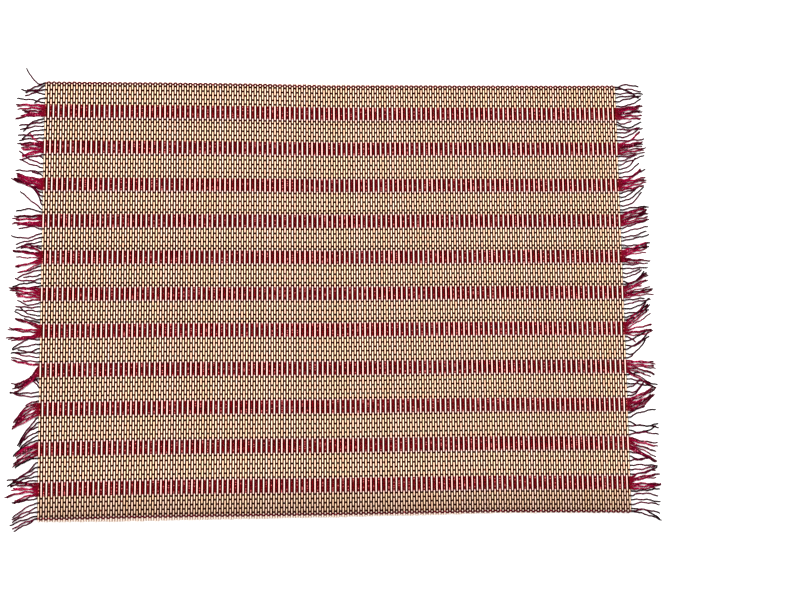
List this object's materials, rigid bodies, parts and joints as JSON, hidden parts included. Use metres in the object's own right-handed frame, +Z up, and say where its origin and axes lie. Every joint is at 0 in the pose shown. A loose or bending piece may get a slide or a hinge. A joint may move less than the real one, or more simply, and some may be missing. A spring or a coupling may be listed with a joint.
{
  "type": "wooden stick placemat",
  "caption": "Flat rectangular table mat of thin bamboo sticks woven with dark single threads and red thread bands, with a loose thread fringe along its two short sides.",
  "frame": {"origin": "middle of the mat's outline, on the surface that it lies on", "axes": "+X along the warp threads and the bands, towards the fringe at the picture's right; +Y along the sticks, towards the picture's top; +Z up"},
  "size_m": [0.4554, 0.3102, 0.002],
  "materials": {
    "bamboo": "satin, split bamboo sticks",
    "yarn": "matte, spun cotton thread"
  },
  "bodies": {
    "root": {"woven_sticks": "bamboo", "fringe_left": "yarn", "fringe_right": "yarn"}
  },
  "joints": []
}
